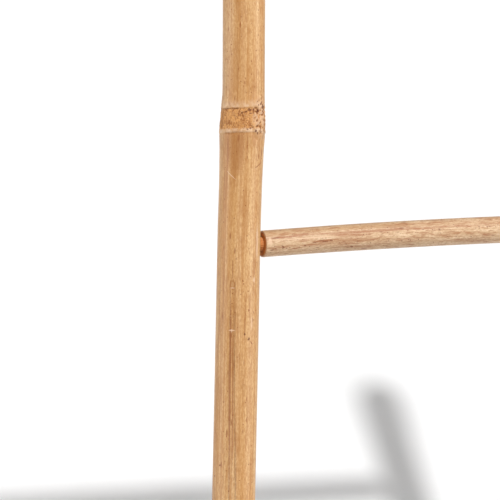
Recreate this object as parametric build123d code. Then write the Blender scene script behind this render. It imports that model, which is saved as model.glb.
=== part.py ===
from build123d import *
import os

# A ladder rack of bamboo, on which quilts, blankets and towels hang. Two poles stand side by side and four
# rungs join them. Each rung is cut square at both ends and bored, a hardwood dowel is glued into each bore and
# runs on into a hole in the pole, and a steel nail driven in from the back of the pole locks the dowel.
# Nothing on the rack moves. Frame: +Z up, +X along the rungs, +Y towards the back where the nail heads are.
# The origin is on the floor, midway between the feet. All sizes are in millimetres.

# ---- Driving dimensions -------------------------------------------------------------------------------------
HEIGHT = 1570.0
POLE_SPACING = 470.0  # between the two poles' nominal centrelines
POLE_WALL = 6.0
RUNG_RADIUS = 13.1
RUNG_HEIGHTS = [130.0, 560.0, 990.0, 1420.0]
DOWEL_RADIUS = 7.0
NAIL_RADIUS = 1.1

# ---- How bamboo grows ---------------------------------------------------------------------------------------
# Each node of a culm is a rough band between two rims, with a woody wall called a diaphragm across the inside.
# The outline through a node of a pole, as (distance above the node, swelling of the radius). The lower rim is the
# scar of the leaf sheath and stands out furthest. Entries below the node add to the radius of the internode
# below it, and those above to the radius of the internode above it.
NODE_OUTLINE = [
    (-55.0, 0.0),
    (-40.0, 0.3),
    (-25.0, 0.6),
    (-15.0, 1.15),
    (-9.5, 1.75),
    (-7.0, 1.5),
    (-1.0, 1.2),
    (4.0, 1.0),
    (10.5, 0.85),
    (13.5, 1.0),
    (17.0, 0.75),
    (21.0, 0.4),
    (26.0, 0.1),
    (34.0, 0.0),
]
DIAPHRAGM = 8.0
END_CHAMFER = 1.2

# ---- The two poles ------------------------------------------------------------------------------------------
# side is -1 for the left pole and +1 for the right. nodes are heights. radii holds one internode radius for
# each stretch from the foot up, so one more than the nodes. line is the crooked culm's centreline, which is
# straight between its points: each is (height, lean along X, lean along Y) off the pole's nominal line.
POLES = {
    "left_pole": {
        "side": -1,
        "nodes": [22.0, 330.0, 700.0, 1103.0, 1546.0],
        "radii": [20.9, 20.9, 20.7, 20.6, 20.3, 20.2],
        "line": [
            (0.0, 2.5, 0.0),
            (330.0, 0.5, 0.8),
            (700.0, -2.9, -0.4),
            (1005.0, 4.2, 0.3),
            (1133.0, 8.8, 0.6),
            (HEIGHT, 10.6, 0.0),
        ],
    },
    "right_pole": {
        "side": 1,
        "nodes": [22.0, 372.0, 760.0, 1165.0, 1546.0],
        "radii": [20.9, 20.9, 20.7, 20.6, 20.4, 20.3],
        "line": [
            (0.0, 2.0, 0.0),
            (372.0, -2.0, -0.8),
            (760.0, 3.0, 0.6),
            (1165.0, -1.5, -0.6),
            (HEIGHT, 2.5, 0.0),
        ],
    },
}

# ---- The four rungs -----------------------------------------------------------------------------------------
# rise is how much higher the right end is than the left, bow is how far the middle stands above the straight
# line between the ends, sway is how far it stands to the back, and nodes are shares of the length. taper is
# how much thicker the right end is.
RUNGS = {
    "rung_1": {"rise": -3.0, "bow": -1.5, "sway": 0.8, "nodes": [0.36], "taper": -0.6},
    "rung_2": {"rise": 2.0, "bow": 2.0, "sway": -0.8, "nodes": [0.22, 0.9], "taper": 0.5},
    "rung_3": {"rise": 6.0, "bow": 2.8, "sway": 0.5, "nodes": [0.76], "taper": 0.3},
    "rung_4": {"rise": 3.0, "bow": 1.5, "sway": -0.5, "nodes": [0.55], "taper": -0.5},
}
RUNG_GAP = 2.6  # between a rung's square-cut end and the pole's side
RUNG_END_CHAMFER = 0.6
RUNG_HOLLOW_RADIUS = 5.5
RUNG_DIAPHRAGM = 5.0
RUNG_WALL_AT_BORE = 1.0  # solid wood between a dowel's bore and the natural hollow
SHORTEST_HOLLOW = 10.0
RUNG_STATIONS = 14  # circles along a rung, beside those of its nodes
HOLLOW_STATIONS = 4

# ---- The joints ---------------------------------------------------------------------------------------------
GLUE_LINE = 0.1  # radial, round the dowel
DOWEL_IN_RUNG = 44.0
BORE_PAST_DOWEL = 0.5
DOWEL_PAST_POLE_AXIS = 16.0
DOWEL_CHAMFER = 1.0
NAIL_CLEARANCE = 0.05
NAIL_HEAD_RADIUS = 2.0
NAIL_HEAD_PROUD = 0.3
NAIL_HEAD_SUNK = 0.5
NAIL_HEAD_EDGE = (0.25, 0.45)  # the domed edge's height and its distance in from the rim
NAIL_NECK = 0.01
NAIL_PAST_POLE_AXIS = 11.0
NAIL_POINT = 3.0
NAIL_TIP_RADIUS = 0.15
DRILLED_PAST_NAIL = 1.0
CLEAR = 5.0  # how far a cutting rod starts outside the wood


def between(x, points):
    """The value at x on the straight lines through points, a list of (x, value) in rising order."""
    for (x0, v0), (x1, v1) in zip(points, points[1:]):
        if x <= x1:
            return v0 + (v1 - v0) * (x - x0) / (x1 - x0)
    return points[-1][1]


def culm_outline(length, nodes, radii, swell, chamfer):
    """Stations (distance along, radius) of a culm's outside, with its nodes' swellings and chamfered ends."""
    stations = [(-length, radii[0])]
    for place, below, above in zip(nodes, radii, radii[1:]):
        for offset, growth in NODE_OUTLINE:
            stations.append((place + offset * swell, (below if offset < 0 else above) + growth * swell))
    stations.append((2 * length, radii[-1]))
    inner = [s for s in stations if 2 * chamfer < s[0] < length - 2 * chamfer]
    first, last = between(chamfer, stations), between(length - chamfer, stations)
    return [
        (0.0, first - chamfer),
        (chamfer, first),
        *inner,
        (length - chamfer, last),
        (length, last - chamfer),
    ]


def through_circles(stations, direction):
    """A solid through circles, given as (centre, radius) in order along direction."""
    return loft([Plane(origin=c, z_dir=direction) * Circle(r) for c, r in stations], ruled=True)


def rod(start, end, radius):
    """A straight round rod from one point to another."""
    axis = Vector(*end) - Vector(*start)
    place = Plane(origin=start, z_dir=axis)
    return place * Cylinder(radius, axis.length, align=(Align.CENTER, Align.CENTER, Align.MIN))


# ---- Where things are ---------------------------------------------------------------------------------------
def pole_centre(pole, height):
    """The point on a pole's crooked centreline at a height."""
    lean_x = between(height, [(z, x) for z, x, y in pole["line"]])
    lean_y = between(height, [(z, y) for z, x, y in pole["line"]])
    return Vector(pole["side"] * POLE_SPACING / 2 + lean_x, lean_y, height)


def pole_radius(pole, height):
    """The outside radius of a pole at a height."""
    return between(height, culm_outline(HEIGHT, pole["nodes"], pole["radii"], 1.0, END_CHAMFER))


def joint_centres(name):
    """Where a rung's straight chord meets the centrelines of the left and the right pole."""
    level = RUNG_HEIGHTS[list(RUNGS).index(name)]
    rise = RUNGS[name]["rise"]
    left = pole_centre(POLES["left_pole"], level - rise / 2)
    return left, pole_centre(POLES["right_pole"], level + rise / 2)


def rung_ends(name):
    """The centres of a rung's two cut ends, on its chord."""
    left, right = joint_centres(name)
    along = (right - left).normalized()
    stand_off = [pole_radius(POLES[p], c.Z) + RUNG_GAP for p, c in zip(POLES, (left, right))]
    return left + along * stand_off[0], right - along * stand_off[1]


# ---- The pieces ---------------------------------------------------------------------------------------------
def rung_centre(name):
    """A function giving the point on a rung's bowed centreline at a distance from its left end."""
    start, end = rung_ends(name)
    chord, rung = end - start, RUNGS[name]

    def centre(distance):
        share = min(max(distance / chord.length, 0.0), 1.0)
        arch = 4 * share * (1 - share)
        return start + chord.normalized() * distance + Vector(0, rung["sway"] * arch, rung["bow"] * arch)

    return centre


def rung_outline(length, nodes, swell):
    """Stations of a rung's outside: those of its nodes, and evenly spaced ones where no node is near."""
    outline = culm_outline(length, nodes, [RUNG_RADIUS] * (len(nodes) + 1), swell, RUNG_END_CHAMFER)
    reach = [NODE_OUTLINE[0][0] * swell, NODE_OUTLINE[-1][0] * swell]
    for i in range(1, RUNG_STATIONS):
        distance = length * i / RUNG_STATIONS
        if not any(node + reach[0] <= distance <= node + reach[1] for node in nodes):
            outline.append((distance, RUNG_RADIUS))
    return sorted(outline)


def make_rung(name):
    """A bowed bamboo rung, with its natural hollow and diaphragms, and bored ends for the dowels."""
    rung, centre = RUNGS[name], rung_centre(name)
    start, end = rung_ends(name)
    length, along = (end - start).length, (end - start).normalized()
    nodes = [share * length for share in rung["nodes"]]
    swell = RUNG_RADIUS / POLES["left_pole"]["radii"][0]
    outline = rung_outline(length, nodes, swell)
    circles = [(centre(d), r + rung["taper"] * (d / length - 0.5)) for d, r in outline]
    body = through_circles(circles, along)

    # The hollow stops at the bored ends and at each node's diaphragm.
    margin, half = DOWEL_IN_RUNG + RUNG_WALL_AT_BORE, RUNG_DIAPHRAGM / 2
    walls = [margin, *[node + side * half for node in nodes for side in (-1, 1)], length - margin]
    for low, high in zip(walls[::2], walls[1::2]):
        if high - low > SHORTEST_HOLLOW:
            steps = [low + (high - low) * i / HOLLOW_STATIONS for i in range(HOLLOW_STATIONS + 1)]
            body -= through_circles([(centre(d), RUNG_HOLLOW_RADIUS) for d in steps], along)
    bore, depth = DOWEL_RADIUS + GLUE_LINE, DOWEL_IN_RUNG + BORE_PAST_DOWEL
    body -= rod(start - along * CLEAR, start + along * depth, bore)
    body -= rod(end + along * CLEAR, end - along * depth, bore)
    return body


def dowel_span(name, side):
    """The two ends of a dowel: inside the rung, and past the pole's centreline."""
    joint = joint_centres(name)[side]
    cut_end = rung_ends(name)[side]
    inward = (cut_end - joint).normalized()
    return cut_end + inward * DOWEL_IN_RUNG, joint - inward * DOWEL_PAST_POLE_AXIS


def nail_line(name, side):
    """The joint's centre and the point where the nail's line leaves the back of the pole."""
    joint = joint_centres(name)[side]
    pole = list(POLES.values())[side]
    return joint, joint + Vector(0, pole_radius(pole, joint.Z), 0)


def make_dowel(name, side):
    """A hardwood dowel with chamfered ends and the nail's hole across it."""
    piece = rod(*dowel_span(name, side), DOWEL_RADIUS)
    piece = chamfer(piece.edges().filter_by(GeomType.CIRCLE), DOWEL_CHAMFER)
    joint, back = nail_line(name, side)
    front = joint - Vector(0, NAIL_PAST_POLE_AXIS + DRILLED_PAST_NAIL, 0)
    return piece - rod(back, front, NAIL_RADIUS + NAIL_CLEARANCE)


def make_nail(name, side):
    """A round-headed steel nail, driven in from the back of the pole."""
    joint, back = nail_line(name, side)
    tip = joint - Vector(0, NAIL_PAST_POLE_AXIS, 0)
    head_under = (back - tip).Y - NAIL_HEAD_SUNK
    head_top = (back - tip).Y + NAIL_HEAD_PROUD
    edge_height, edge_inset = NAIL_HEAD_EDGE
    outline = [
        (0, 0),
        (NAIL_TIP_RADIUS, 0),
        (NAIL_RADIUS, NAIL_POINT),
        (NAIL_RADIUS, head_under),
        (NAIL_HEAD_RADIUS, head_under + NAIL_NECK),
        (NAIL_HEAD_RADIUS, head_top - edge_height),
        (NAIL_HEAD_RADIUS - edge_inset, head_top),
        (0, head_top),
    ]
    return Pos(tip.X, tip.Y, tip.Z) * revolve(make_face(Polyline(*outline, close=True)), Axis.Y)


def pole_outline(pole):
    """Stations of a pole's outside: those of its nodes, and one at each bend of its centreline."""
    outline = culm_outline(HEIGHT, pole["nodes"], pole["radii"], 1.0, END_CHAMFER)
    bends = [(z, between(z, outline)) for z, x, y in pole["line"][1:-1]]
    return sorted(set(outline + bends))


def make_pole(name):
    """A bamboo pole: its outside, its hollow internodes, and the holes for the dowels and nails."""
    pole, side, up = POLES[name], list(POLES).index(name), Vector(0, 0, 1)
    body = through_circles([(pole_centre(pole, z), r) for z, r in pole_outline(pole)], up)

    # The hollows, open at the foot and the top. Each one follows the culm's bends.
    half = DIAPHRAGM / 2
    walls = [-CLEAR, *[node + end * half for node in pole["nodes"] for end in (-1, 1)], HEIGHT + CLEAR]
    bends = [z for z, x, y in pole["line"][1:-1]]
    for low, high, radius in zip(walls[::2], walls[1::2], pole["radii"]):
        levels = [low, *[z for z in bends if low < z < high], high]
        centres = [pole_centre(pole, min(max(z, 0.0), HEIGHT)) for z in levels]
        circles = [(Vector(c.X, c.Y, z), radius - POLE_WALL) for c, z in zip(centres, levels)]
        body -= through_circles(circles, up)

    for rung in RUNGS:
        joint, back = nail_line(rung, side)
        outside = back + Vector(0, CLEAR, 0)
        body -= rod(*dowel_span(rung, side), DOWEL_RADIUS + GLUE_LINE)
        body -= rod(outside, joint, NAIL_RADIUS + NAIL_CLEARANCE)
        body -= rod(outside, back - Vector(0, NAIL_HEAD_SUNK, 0), NAIL_HEAD_RADIUS + NAIL_CLEARANCE)
    return body


def make_all():
    """Every piece of the rack, by the name of its node."""
    pieces = {name: make_pole(name) for name in POLES}
    for name in RUNGS:
        pieces[name] = make_rung(name)
        for side, word in enumerate(("left", "right")):
            pieces[f"{name}_dowel_{word}"] = make_dowel(name, side)
            pieces[f"{name}_nail_{word}"] = make_nail(name, side)
    return pieces


def box_of(pieces):
    """The box round all the pieces."""
    return Compound(children=[Compound(p.wrapped) for p in pieces.values()]).bounding_box()


def main():
    os.makedirs("parts", exist_ok=True)
    pieces = make_all()
    middle = box_of(pieces).center()
    pieces = {name: Pos(-middle.X, -middle.Y, 0) * piece for name, piece in pieces.items()}
    box = box_of(pieces)
    print("box", box.min, box.max)
    for name, piece in pieces.items():
        export_step(piece, f"parts/{name}.step")


main()
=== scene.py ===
# %% [markdown]
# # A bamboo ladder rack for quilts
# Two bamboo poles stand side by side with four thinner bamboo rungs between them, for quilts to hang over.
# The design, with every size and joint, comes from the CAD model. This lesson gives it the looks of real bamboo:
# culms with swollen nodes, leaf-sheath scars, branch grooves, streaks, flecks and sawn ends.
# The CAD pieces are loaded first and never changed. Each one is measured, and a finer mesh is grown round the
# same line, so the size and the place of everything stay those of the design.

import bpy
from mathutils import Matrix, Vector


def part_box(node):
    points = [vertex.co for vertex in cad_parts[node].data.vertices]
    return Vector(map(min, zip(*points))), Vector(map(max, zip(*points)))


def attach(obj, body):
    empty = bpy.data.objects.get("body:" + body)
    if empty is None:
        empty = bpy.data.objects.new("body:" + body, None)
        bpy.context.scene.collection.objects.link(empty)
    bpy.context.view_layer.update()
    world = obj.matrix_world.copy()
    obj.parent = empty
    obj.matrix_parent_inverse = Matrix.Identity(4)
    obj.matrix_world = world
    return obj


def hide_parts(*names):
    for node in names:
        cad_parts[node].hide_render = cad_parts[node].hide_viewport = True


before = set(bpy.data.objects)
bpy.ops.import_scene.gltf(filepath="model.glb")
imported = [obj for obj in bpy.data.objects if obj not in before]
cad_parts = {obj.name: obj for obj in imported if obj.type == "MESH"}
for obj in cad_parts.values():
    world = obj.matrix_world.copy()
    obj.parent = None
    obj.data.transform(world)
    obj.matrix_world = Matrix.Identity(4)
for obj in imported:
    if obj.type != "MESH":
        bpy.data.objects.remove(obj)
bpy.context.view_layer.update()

# %% [markdown]
# ## Tools
# All of the growing is done with numpy in millimetres, because a culm is easiest to think of in millimetres, and
# it is turned into metres when a mesh is made.

# %% Units and helpers
import math

import bmesh
import bpy
import numpy as np
from mathutils import Vector

MM = 0.001
scene = bpy.context.scene


def unit(vector):
    """A direction of length one."""
    vector = np.array(vector, dtype=float)
    return vector / np.linalg.norm(vector)


def bell(distance, width):
    """1 at no distance, falling smoothly to 0 over about twice the width."""
    return np.exp(-((distance / width) ** 2))


def smooth_step(value, low, high):
    """0 below low, 1 above high and a smooth rise between them."""
    share = np.clip((value - low) / (high - low), 0.0, 1.0)
    return share * share * (3 - 2 * share)


# %% [markdown]
# ## The camera
# The rack is seen from its front left and a little above, close to where the left pole meets the third rung.
# A long lens far away keeps the poles parallel, as a catalogue photographer would. The camera has no shift
# and no depth of field.

# %% Camera
VIEW_AZIMUTH = math.radians(-22.0)
VIEW_ELEVATION = math.radians(5.0)
VIEW_DISTANCE = 6.0
FIELD_WIDTH = 0.4762  # metres across the picture at the left pole
SENSOR_WIDTH = 36.0
AIM_RIGHT = 0.0106  # how far the middle of the picture is from the joint, to the right and up
AIM_UP = -0.0047

towards_camera = np.array([
    math.sin(VIEW_AZIMUTH) * math.cos(VIEW_ELEVATION),
    -math.cos(VIEW_AZIMUTH) * math.cos(VIEW_ELEVATION),
    math.sin(VIEW_ELEVATION),
])
view_right = np.array([math.cos(VIEW_AZIMUTH), math.sin(VIEW_AZIMUTH), 0.0])
view_up = np.cross(towards_camera, view_right)


def middle_of(node):
    """The middle of a CAD piece's box, in metres."""
    low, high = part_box(node)
    return (np.array(low) + np.array(high)) / 2


def joint_on_pole(rung):
    """Where a rung's line meets the left pole's line, near enough for aiming, in metres."""
    left, right = middle_of(f"{rung}_dowel_left"), middle_of(f"{rung}_dowel_right")
    nail = middle_of(f"{rung}_nail_left")
    return left + (right - left) * (nail[0] - left[0]) / (right[0] - left[0])


aim = joint_on_pole("rung_3") + view_right * AIM_RIGHT + view_up * AIM_UP
camera = bpy.data.objects.new("camera", bpy.data.cameras.new("camera"))
scene.collection.objects.link(camera)
camera.location = Vector(aim + towards_camera * VIEW_DISTANCE)
camera.rotation_euler = Vector(-towards_camera).to_track_quat("-Z", "Y").to_euler()
camera.data.sensor_width = SENSOR_WIDTH
camera.data.lens = SENSOR_WIDTH * VIEW_DISTANCE / FIELD_WIDTH
camera.data.clip_end = 100.0
scene.camera = camera
print("camera looks at", aim.round(4), "through", round(camera.data.lens), "mm")

# %% [markdown]
# ## Light and backdrop
# The rack stands on pale paper that runs flat under its feet and rises close behind it. One small lamp, high and
# almost straight in front of the rack, throws a soft-edged shadow of it onto the rising paper. It is near, so the
# shadow is larger than the rack. Three broad lamps, one low in front and one on each side, light the round culms
# evenly and are too broad to throw shadows of their own. A weak white room fills the rest. The paper comes out
# pure white outside the shadow.
# The paper is a single sheet, and its back lets the eye through, so that it never hides the rack from behind.

# %% Paper sweep
PAPER_START = 0.112  # metres behind the poles' centrelines
PAPER_SLOPE = math.radians(45.7)
PAPER_BEND = 0.03
PAPER_FRONT = 1.3
PAPER_RISE = 1.9
PAPER_SIDE = 2.2
PAPER_WHITE = 0.87


def sweep_outline():
    """The paper's side view, as (y, z) from the front edge to the top."""
    hidden = PAPER_BEND * math.tan(PAPER_SLOPE / 2)
    points = [(-PAPER_FRONT, 0.0), (PAPER_START - hidden, 0.0)]
    for turn in np.linspace(0, PAPER_SLOPE, 13)[1:]:
        y = PAPER_START - hidden + PAPER_BEND * math.sin(turn)
        points.append((y, PAPER_BEND * (1 - math.cos(turn))))
    y, z = points[-1]
    points.append((y + PAPER_RISE * math.cos(PAPER_SLOPE), z + PAPER_RISE * math.sin(PAPER_SLOPE)))
    return points


def make_sweep():
    """A sheet of pale paper, with its front side up and towards the rack."""
    outline = sweep_outline()
    corners = [(x, y, z) for y, z in outline for x in (-PAPER_SIDE, PAPER_SIDE)]
    faces = [(2 * i, 2 * i + 1, 2 * i + 3, 2 * i + 2) for i in range(len(outline) - 1)]
    mesh = bpy.data.meshes.new("paper_sweep")
    mesh.from_pydata(corners, [], faces)
    mesh.shade_smooth()
    sheet = bpy.data.objects.new("paper_sweep", mesh)
    scene.collection.objects.link(sheet)
    return sheet


sweep = make_sweep()

# %% Paper finish
paper = bpy.data.materials.new("paper")
paper.use_nodes = True
paper_tree = paper.node_tree
paper_shader = paper_tree.nodes["Principled BSDF"]
paper_shader.inputs["Base Color"].default_value = (PAPER_WHITE, PAPER_WHITE, PAPER_WHITE, 1.0)
paper_shader.inputs["Roughness"].default_value = 0.9
paper_shader.inputs["Specular IOR Level"].default_value = 0.0
paper_side = paper_tree.nodes.new("ShaderNodeNewGeometry")
paper_clear = paper_tree.nodes.new("ShaderNodeBsdfTransparent")
paper_mix = paper_tree.nodes.new("ShaderNodeMixShader")
paper_tree.links.new(paper_side.outputs["Backfacing"], paper_mix.inputs["Fac"])
paper_tree.links.new(paper_shader.outputs["BSDF"], paper_mix.inputs[1])
paper_tree.links.new(paper_clear.outputs["BSDF"], paper_mix.inputs[2])
paper_tree.links.new(paper_mix.outputs["Shader"], paper_tree.nodes["Material Output"].inputs["Surface"])
sweep.data.materials.append(paper)

# %% Lamps
KEY_HEIGHT = math.radians(47.3)
KEY_TO_THE_RIGHT = math.radians(2.1)
KEY_DISTANCE = 4.71
KEY_POWER = 900.0
KEY_RADIUS = 0.09
LIT_PLACE = Vector((0.0, 0.0, 1.3))
LOW_HEIGHT = math.radians(-8.0)
LOW_STRENGTH = 0.55
LOW_SPREAD = math.radians(30.0)
SIDE_TURN = math.radians(78.0)
SIDE_STRENGTHS = (1.4, 1.1)
SIDE_SPREAD = math.radians(40.0)


def add_bulb(name, place, power, radius):
    """A round lamp that shines every way from a place."""
    lamp = bpy.data.lights.new(name, "POINT")
    lamp.energy = power
    lamp.shadow_soft_size = radius
    holder = bpy.data.objects.new(name, lamp)
    scene.collection.objects.link(holder)
    holder.location = place
    return holder


def add_sun(name, towards, strength, spread):
    """A lamp far away, in the direction towards."""
    lamp = bpy.data.lights.new(name, "SUN")
    lamp.energy = strength
    lamp.angle = spread
    holder = bpy.data.objects.new(name, lamp)
    scene.collection.objects.link(holder)
    holder.rotation_euler = Vector(towards).to_track_quat("Z", "Y").to_euler()
    return holder


camera_turn = math.atan2(towards_camera[1], towards_camera[0])


def level_direction(turn, height):
    """A direction from its turn round the rack and its height above level."""
    return math.cos(turn) * math.cos(height), math.sin(turn) * math.cos(height), math.sin(height)


key_way = Vector(level_direction(KEY_TO_THE_RIGHT - math.pi / 2, KEY_HEIGHT))
add_bulb("key_lamp", LIT_PLACE + KEY_DISTANCE * key_way, KEY_POWER, KEY_RADIUS)
add_sun("low_lamp", level_direction(camera_turn, LOW_HEIGHT), LOW_STRENGTH, LOW_SPREAD)
for word, turn, strength in zip(("left", "right"), (-SIDE_TURN, SIDE_TURN), SIDE_STRENGTHS):
    add_sun(f"{word}_lamp", level_direction(camera_turn + turn, 0.05), strength, SIDE_SPREAD)

# %% [markdown]
# The room round the rack is white and evenly lit from the horizon up, and darker towards the floor. The camera
# sees it as plain white.

# %% Room light
ROOM_LOW, ROOM_HIGH = 0.12, 0.26

room = bpy.data.worlds.new("room")
room.use_nodes = True
scene.world = room
room_parts, room_links = room.node_tree.nodes, room.node_tree.links
room_light = room_parts["Background"]
room_height = room_parts.new("ShaderNodeSeparateXYZ")
room_links.new(room_parts.new("ShaderNodeTexCoord").outputs["Generated"], room_height.inputs[0])
room_ramp = room_parts.new("ShaderNodeMapRange")
room_links.new(room_height.outputs["Z"], room_ramp.inputs["Value"])
for name, value in (("From Min", -0.35), ("From Max", 0.05), ("To Min", ROOM_LOW), ("To Max", ROOM_HIGH)):
    room_ramp.inputs[name].default_value = value
room_links.new(room_ramp.outputs[0], room_light.inputs["Strength"])
room_seen = room_parts.new("ShaderNodeBackground")
for light, strength in ((room_light, None), (room_seen, 1.2)):
    light.inputs["Color"].default_value = (1.0, 1.0, 1.0, 1.0)
    if strength:
        light.inputs["Strength"].default_value = strength
room_mix = room_parts.new("ShaderNodeMixShader")
room_links.new(room_parts.new("ShaderNodeLightPath").outputs["Is Camera Ray"], room_mix.inputs["Fac"])
room_links.new(room_light.outputs["Background"], room_mix.inputs[1])
room_links.new(room_seen.outputs["Background"], room_mix.inputs[2])
room_links.new(room_mix.outputs["Shader"], room_parts["World Output"].inputs["Surface"])
scene.view_settings.view_transform = "Standard"

# %% [markdown]
# ## Reading a culm from the CAD
# A culm is a bent tube of changing thickness. The CAD piece was lofted through circles, so its corners lie in
# rings. Sorting the corners along the culm's line finds the rings again, and each one gives a centre and a
# radius. The two rims of each node are where the radius peaks. Everything grown later hangs on these readings.

# %% Culm
USUAL_RADIUS = 20.5


def corners_of(node):
    """A CAD piece's corners, in millimetres."""
    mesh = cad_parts[node].data
    flat = np.empty(len(mesh.vertices) * 3)
    mesh.vertices.foreach_get("co", flat)
    return flat.reshape(-1, 3) / MM


class Culm:
    """A bamboo culm's line, thickness and nodes, in millimetres, as read from its CAD piece."""

    RING_GAP = 0.02
    SHARE_OUTSIDE = 0.75
    WIDEST_GAP = math.radians(40.0)
    RIM_PEAK = 0.03
    END_ROOM = 5.0

    def __init__(self, node, start, along, side, seed):
        self.node, self.seed = node, seed
        self.along = unit(along)
        self.side = unit(side - np.dot(side, self.along) * self.along)
        self.other = np.cross(self.along, self.side)
        corners = corners_of(node)
        self.start = np.array(start, dtype=float)
        self.start = self.start + self.along * ((corners - self.start) @ self.along).min()
        self.read_rings(corners)
        self.read_nodes()

    def read_rings(self, corners):
        local = corners - self.start
        place = local @ self.along
        order = np.argsort(place)
        place, x, y = place[order], (local @ self.side)[order], (local @ self.other)[order]
        breaks = np.flatnonzero(np.diff(place) > self.RING_GAP) + 1
        rings = []
        for ring in np.split(np.arange(len(place)), breaks):
            fitted = self.fit_circle(x[ring], y[ring])
            if fitted is not None and np.ptp(place[ring]) < 0.1:
                rings.append((place[ring].mean(), *fitted))
        rings = np.array(rings)
        self.rings = rings[rings[:, 3] > self.SHARE_OUTSIDE * rings[:, 3].max()]
        self.length = self.rings[-1, 0]

    def fit_circle(self, x, y):
        """The middle and radius of the outermost circle among corners, or None if they don't go all round."""
        middle = (x.max() + x.min()) / 2, (y.max() + y.min()) / 2
        reach = np.hypot(x - middle[0], y - middle[1])
        outer = reach >= 0.97 * reach.max()
        turns = np.sort(np.arctan2(y[outer] - middle[1], x[outer] - middle[0]))
        widest = np.diff(np.append(turns, turns[0] + 2 * np.pi)).max()
        return (*middle, reach[outer].mean()) if widest < self.WIDEST_GAP else None

    def read_nodes(self):
        place, radius = self.rings[:, 0], self.rings[:, 3]
        peaks = [
            place[i]
            for i in range(1, len(place) - 1)
            if min(radius[i] - radius[i - 1], radius[i] - radius[i + 1]) > self.RIM_PEAK
            and self.END_ROOM < place[i] < self.length - self.END_ROOM
        ]
        self.nodes = list(zip(peaks[::2], peaks[1::2]))
        self.rims = np.array([(low, self.radius(low)) for low, high in self.nodes])

    def widest(self, place):
        """How far the skin may swell at places along the culm: as far as the CAD's nearest rims."""
        return np.interp(place, self.rims[:, 0], self.rims[:, 1])

    def centre(self, place):
        """The culm's centreline at places along it, as offsets along side and other."""
        return (np.interp(place, self.rings[:, 0], self.rings[:, column]) for column in (1, 2))

    def radius(self, place):
        """The plain radius at places along the culm."""
        return np.interp(place, self.rings[:, 0], self.rings[:, 3])

    def scale(self):
        """How thick the culm is beside a usual pole, for which the sizes of growth are given."""
        return self.radius(np.array([self.length / 2]))[0] / USUAL_RADIUS

    def points(self, place, turn, reach):
        """Points in metres at places along the culm, turns round it and distances from its centreline."""
        middle_x, middle_y = self.centre(place)
        x, y = middle_x + reach * np.cos(turn), middle_y + reach * np.sin(turn)
        line = self.start + place[..., None] * self.along
        return (line + x[..., None] * self.side + y[..., None] * self.other) * MM

    def locate(self, points):
        """The place along, turn round and distance from the centreline of points in metres."""
        local = points / MM - self.start
        place = local @ self.along
        middle_x, middle_y = self.centre(place)
        x, y = local @ self.side - middle_x, local @ self.other - middle_y
        return place, np.arctan2(y, x), np.hypot(x, y)


def pole_culm(node, seed):
    """A pole's culm, upright, with turns counted from +X towards +Y."""
    return Culm(node, (0, 0, 0), np.array([0, 0, 1.0]), np.array([1.0, 0, 0]), seed)


def rung_culm(node, seed):
    """A rung's culm, along its two dowels, with turns counted from the back (+Y) over the top."""
    left, right = middle_of(f"{node}_dowel_left") / MM, middle_of(f"{node}_dowel_right") / MM
    return Culm(node, left, right - left, np.array([0, 1.0, 0]), seed)


POLES = ["left_pole", "right_pole"]
RUNGS = ["rung_1", "rung_2", "rung_3", "rung_4"]
culms = {node: pole_culm(node, 11 + i) for i, node in enumerate(POLES)}
culms.update({node: rung_culm(node, 21 + i) for i, node in enumerate(RUNGS)})
for node, culm in culms.items():
    rims = [f"{low:.1f}-{high:.1f}" for low, high in culm.nodes]
    print(node, f"length {culm.length:.1f}", "rings", len(culm.rings), "rims", rims)

# %% [markdown]
# ## Noise round a culm
# Bamboo's roughness has to close on itself round the culm, or a seam would show. Random values are laid on a
# lattice whose columns wrap round, and smoothly blended between.

# %% Noise


def lattice(column, row, seed):
    """A random value from 0 to 1 for each column and row of a lattice."""
    mixed = (column * 374761393 + row * 668265263 + seed * 974634777) & 0xFFFFFFFF
    mixed = ((mixed ^ (mixed >> 13)) * 1274126177) & 0xFFFFFFFF
    return ((mixed ^ (mixed >> 16)) & 0xFFFF) / 0xFFFF


def noise(turn, place, columns, step, seed):
    """Smooth noise from 0 to 1 with a number of columns round the culm and a step along it, in millimetres."""
    u, v = turn / (2 * np.pi) * columns, place / step
    column, row = np.floor(u).astype(np.int64), np.floor(v).astype(np.int64)
    fu, fv = smooth_step(u - column, 0, 1), smooth_step(v - row, 0, 1)
    corner = [[lattice((column + i) % columns, row + j, seed) for j in (0, 1)] for i in (0, 1)]
    low = corner[0][0] * (1 - fu) + corner[1][0] * fu
    high = corner[0][1] * (1 - fu) + corner[1][1] * fu
    return low * (1 - fv) + high * fv


def rough_noise(turn, place, columns, step, seed, layers=3):
    """Layers of finer and weaker noise on top of each other, from 0 to 1."""
    total = sum(noise(turn, place, columns * 2**k, step / 2**k, seed + 7 * k) / 2**k for k in range(layers))
    return total / sum(1 / 2**k for k in range(layers))


def wrap(turn):
    """A turn brought between minus half a turn and half a turn."""
    return (turn + np.pi) % (2 * np.pi) - np.pi


# %% [markdown]
# ## What grows on a culm
# At each node a bamboo culm has two rims. The lower is the scar of the leaf sheath that wrapped the young culm,
# and the upper is where the next stretch starts. Between them is a rough brown band. On one side sits a bud or
# the scar of a trimmed branch, and above it the culm has a shallow groove where the branch was pressed against
# it. Each of these is written as a change of radius and as marks that the finish will colour later. The dark
# marks along the groove's edges and round its tip are painted shade.

# %% Growth of nodes


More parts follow.
